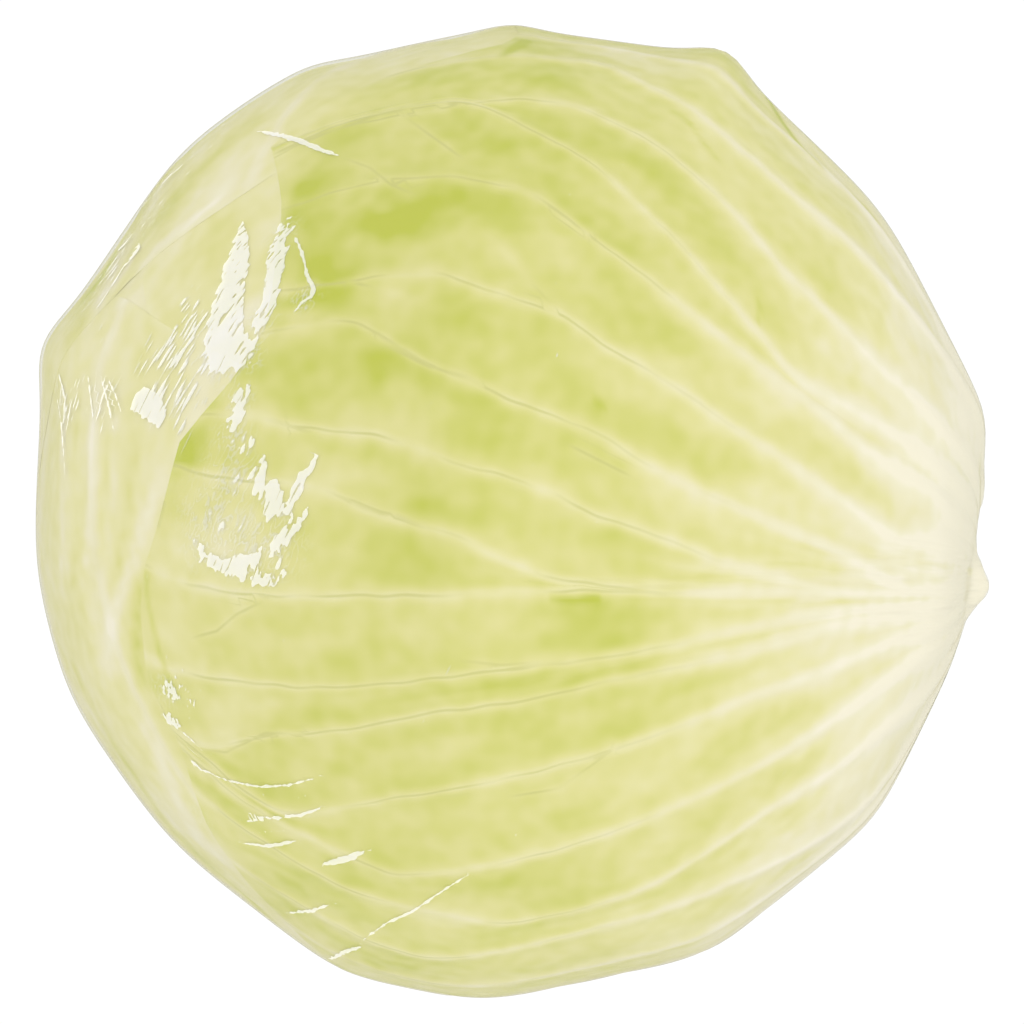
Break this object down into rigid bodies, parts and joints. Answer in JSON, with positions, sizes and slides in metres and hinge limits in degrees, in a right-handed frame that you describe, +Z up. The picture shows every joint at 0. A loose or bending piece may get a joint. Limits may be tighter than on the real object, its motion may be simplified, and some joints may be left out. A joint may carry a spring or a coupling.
{
  "type": "white cabbage head in clear film",
  "caption": "Round white cabbage lying on its side, with ribbed wrapper leaves, a cut stem and a tight clear film.",
  "frame": {"origin": "middle of the box that holds the head, on the surface it lies on", "axes": "+Z up; +X towards the cut stem, which also points a little down and back; -Y towards the viewer"},
  "size_m": [0.1668, 0.1684, 0.1674],
  "materials": {
    "clear_film": "clear, glossy, tightly drawn",
    "green_leaf": "waxy yellow-green leaf with pale ribs",
    "pale_leaf": "waxy pale leaf",
    "inner_leaf": "waxy cream leaf",
    "stem": "moist cut stem"
  },
  "bodies": {
    "root": {"film_wrap": "clear_film", "leaf_front": "green_leaf", "leaf_upper_back": "pale_leaf", "leaf_lower": "pale_leaf", "leaf_upper_front": "pale_leaf", "leaf_back": "pale_leaf", "head": "inner_leaf", "cut_stem": "stem"}
  },
  "joints": []
}
